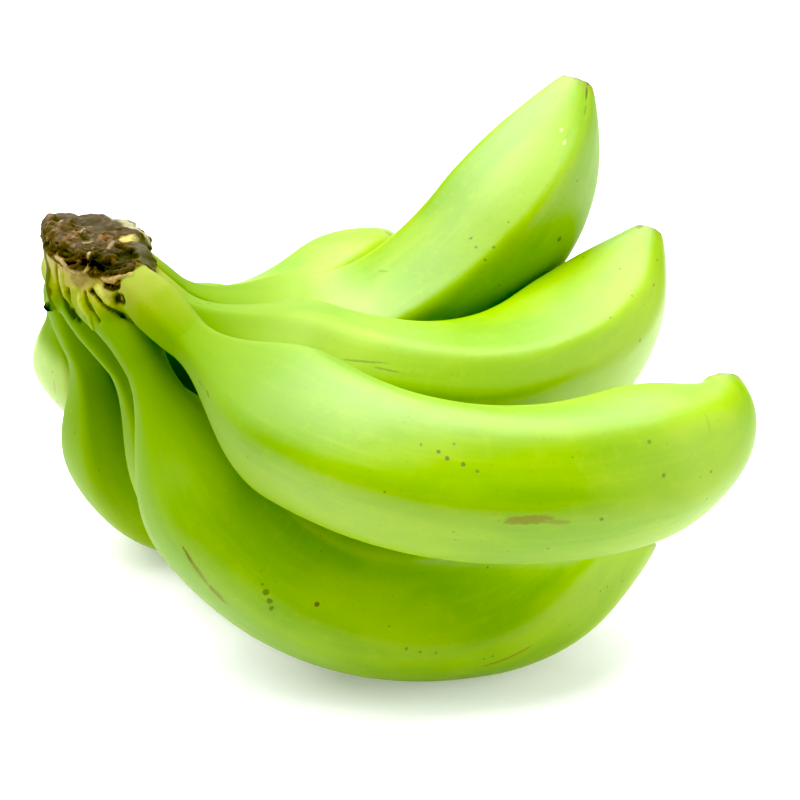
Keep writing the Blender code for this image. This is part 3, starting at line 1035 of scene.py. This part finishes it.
# Marks on each peel: kind, angle round in degrees, length from the stalk in mm, half size across and along
# in mm, tilt in degrees and strength
MARKS = {
    "banana_upper_front": (
        ("brown", 157, 122, 1.3, 5.5, 4, 0.75), ("brown", 159, 128, 0.7, 3, -6, 0.5),
        ("dark", 160, 38, 0.8, 1.5, 20, 0.85), ("dark", 153, 43.5, 0.8, 1.3, -20, 0.85),
        ("brown", 156, 41, 0.7, 4, 10, 0.4),
        ("dark", 113, 103, 0.5, 0.5, 0, 0.7), ("dark", 117, 105, 0.7, 0.5, 30, 0.7),
        ("dark", 120, 108.5, 0.6, 0.6, 0, 0.7), ("dark", 124, 111.5, 0.5, 0.5, 0, 0.6),
        ("dark", 110, 99, 0.5, 0.4, 0, 0.5), ("dark", 106, 106, 0.4, 0.4, 0, 0.5),
        ("dark", 160, 137, 0.5, 0.5, 0, 0.6), ("dark", 138, 151.5, 0.6, 0.5, 0, 0.6),
        ("dark", 113, 150, 0.5, 0.5, 0, 0.5), ("green", 115, 167, 0.5, 3.5, 70, 0.5),
        ("dark", 148, 163, 0.4, 0.4, 0, 0.5)),
    "banana_upper_second": (
        ("dark", 98, 73.5, 0.35, 6, 6, 0.45), ("dark", 101, 80, 0.3, 4.5, -3, 0.4),
        ("dark", 60, 26.5, 0.9, 1.2, 0, 0.85), ("dark", 36, 28.5, 1.2, 1, 0, 0.85),
        ("dark", 132, 175.5, 0.5, 0.5, 0, 0.6), ("dark", 130, 166.5, 0.5, 0.5, 0, 0.6),
        ("dark", 88, 166, 0.5, 0.5, 0, 0.6), ("dark", 138, 150, 0.5, 0.6, 0, 0.5),
        ("dark", 112, 158, 0.4, 0.4, 0, 0.5), ("dark", 60, 184.8, 4, 1.2, 0, 0.5)),
    "banana_upper_third": (
        ("pale", 65, 163, 0.9, 0.7, 0, 0.45), ("pale", 75, 160, 0.7, 0.9, 0, 0.5),
        ("dark", 125, 138, 0.9, 0.8, 0, 0.7), ("dark", 60, 124.5, 0.4, 0.6, 0, 0.6),
        ("dark", 69, 123.5, 0.5, 0.4, 0, 0.6), ("dark", 79, 126.5, 0.4, 0.5, 0, 0.6),
        ("dark", 81, 122.5, 0.5, 0.4, 0, 0.6), ("dark", 25, 97, 0.4, 2.5, -35, 0.3),
        ("dark", 84, 176.5, 1, 2.6, 0, 0.85), ("dark", 86, 171.5, 0.5, 1.8, 0, 0.4),
        ("dark", 88, 179.6, 2, 0.9, 0, 0.9)),
    "banana_upper_back": (
        ("brown", 37, 152, 3, 3, 0, 0.5), ("brown", 60, 154, 3, 2, 0, 0.5)),
    "banana_lower_front": (
        ("brown", 143, 71, 0.7, 6, -12, 0.8), ("brown", 147, 78.5, 0.9, 3.5, -8, 0.7),
        ("dark", 141, 67.5, 0.4, 2.5, -12, 0.6), ("dark", 117, 86, 0.9, 0.8, 0, 0.65),
        ("dark", 121, 88, 0.7, 0.8, 0, 0.65), ("dark", 125, 89.5, 0.9, 0.6, 0, 0.65),
        ("dark", 114, 84, 0.4, 0.5, 0, 0.5), ("dark", 105, 98.5, 0.7, 0.7, 0, 0.85),
        ("dark", 125, 124, 0.5, 0.4, 0, 0.6), ("dark", 128, 127.5, 0.4, 0.5, 0, 0.6),
        ("dark", 130, 131.5, 0.4, 0.4, 0, 0.5), ("brown", 157, 150, 0.6, 7.5, 4, 0.75)),
    "banana_lower_third": (
        ("dark", 143, 42.5, 0.5, 0.6, 0, 0.6), ("dark", 110, 51.5, 0.4, 0.4, 0, 0.5)),
    "banana_lower_back": (
        ("dark", 138, 51, 0.6, 0.8, 0, 0.6), ("dark", 140, 40, 0.6, 0.5, 0, 0.6),
        ("brown", 137, 45, 0.8, 3, 0, 0.4)),
}

# The floor: half its width in mm, its two colours, the noise between them and its gloss
FLOOR_HALF = 4000.0
FLOOR_COLORS = ((0.77, 0.77, 0.78), (0.80, 0.80, 0.81))
FLOOR_NOISE = (6.0, 3.0, 0.5)
FLOOR_ROUGHNESS = 0.7
FLOOR_SHINE = 0.2
FLOOR_GLOW = 0.29
WHITE = (1.0, 1.0, 1.0, 1.0)

# Soft square lights: place and size in metres, and power in watts
LIGHTS = {
    "left": ((-0.75, -0.05, 0.98), 0.9, 14.0),
    "left_front": ((-0.50, -0.50, 1.05), 0.8, 2.5),
    "back": ((0.0, 0.75, 0.95), 1.0, 12.5),
    "back_low": ((0.0, 1.15, 0.40), 0.9, 1.0),
    "right": ((1.00, -0.10, 0.55), 1.3, 8.5),
    "right_front": ((0.85, -0.70, 0.45), 0.9, 3.8),
    "overhead": ((-0.10, 0.00, 1.20), 0.9, 18.5),
}
LIT_PLACE = (0.0, -0.02, 0.06)  # where the lights point
WORLD_LIGHT = 0.155

# The camera: place looked at and distance in metres, angle looked down in degrees, lens and sensor in mm
CAMERA_TARGET = (0.011, -0.032, 0.070)
CAMERA_DISTANCE = 0.620
CAMERA_RISE = 25.0
CAMERA_LENS = 100.0
CAMERA_SENSOR = 36.0
BLACK_LEVEL = (0.045, 0.035, 0.075)


def make_floor():
    """Make the plain pale floor."""
    half = FLOOR_HALF
    corners = ((-half, -half, 0), (half, -half, 0), (half, half, 0), (-half, half, 0))
    floor = new_mesh("floor", corners, ((0, 1, 2, 3),))
    tree = Tree("pale_floor")
    tree.set("Base Color", tree.mix(tree.noise(tree.place(), *FLOOR_NOISE), *FLOOR_COLORS))
    tree.set("Roughness", FLOOR_ROUGHNESS)
    tree.set("Specular IOR Level", FLOOR_SHINE)
    tree.set("Emission Color", WHITE)
    tree.set("Emission Strength", FLOOR_GLOW)
    floor.data.materials.append(tree.material)


def put_at(name, data, place, target):
    """Add a light or a camera at a place, pointing at a target."""
    item = bpy.data.objects.new(name, data)
    item.location = place
    item.rotation_euler = (Vector(target) - Vector(place)).to_track_quat("-Z", "Y").to_euler()
    bpy.context.scene.collection.objects.link(item)
    return item


def make_lights():
    """Light the hand from the left, above, behind and the right, with a dim surround."""
    for name, (place, size, power) in LIGHTS.items():
        light = bpy.data.lights.new(name, "AREA")
        light.size = size
        light.energy = power
        put_at(name, light, place, LIT_PLACE)
    world = bpy.data.worlds.new("studio")
    world.use_nodes = True
    background = world.node_tree.nodes["Background"]
    background.inputs["Color"].default_value = WHITE
    background.inputs["Strength"].default_value = WORLD_LIGHT
    bpy.context.scene.world = world


def make_camera():
    """Look at the hand from the front and a little above."""
    rise = math.radians(CAMERA_RISE)
    target = Vector(CAMERA_TARGET)
    place = target + Vector((0.0, -math.cos(rise), math.sin(rise))) * CAMERA_DISTANCE
    camera = bpy.data.cameras.new("camera")
    camera.lens = CAMERA_LENS
    camera.sensor_width = CAMERA_SENSOR
    bpy.context.scene.camera = put_at("camera", camera, place, target)


def set_picture():
    """Show colours plainly, with a slightly deep black as in a crisp studio picture."""
    settings = bpy.context.scene.view_settings
    settings.view_transform = "Standard"
    settings.use_curve_mapping = True
    settings.curve_mapping.black_level = BLACK_LEVEL
    settings.curve_mapping.update()


bananas = [Banana(number, name, *rest) for number, (name, rest) in enumerate(BANANAS.items())]
for banana in bananas:
    fruit = fine_banana(banana)
    fruit.data.materials.append(peel_material(banana))
    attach(fruit, "root")
    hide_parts(banana.name)

crown = fine_crown(bananas)
crown.data.materials.append(crown_material("crown_flesh", WAX_SHINE, WAX_BLOOM))
crown.data.materials.append(crown_material("crown_bark", BARK_SHINE, 0.0))
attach(crown, "root")
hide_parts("crown")

make_floor()
make_lights()
make_camera()
set_picture()
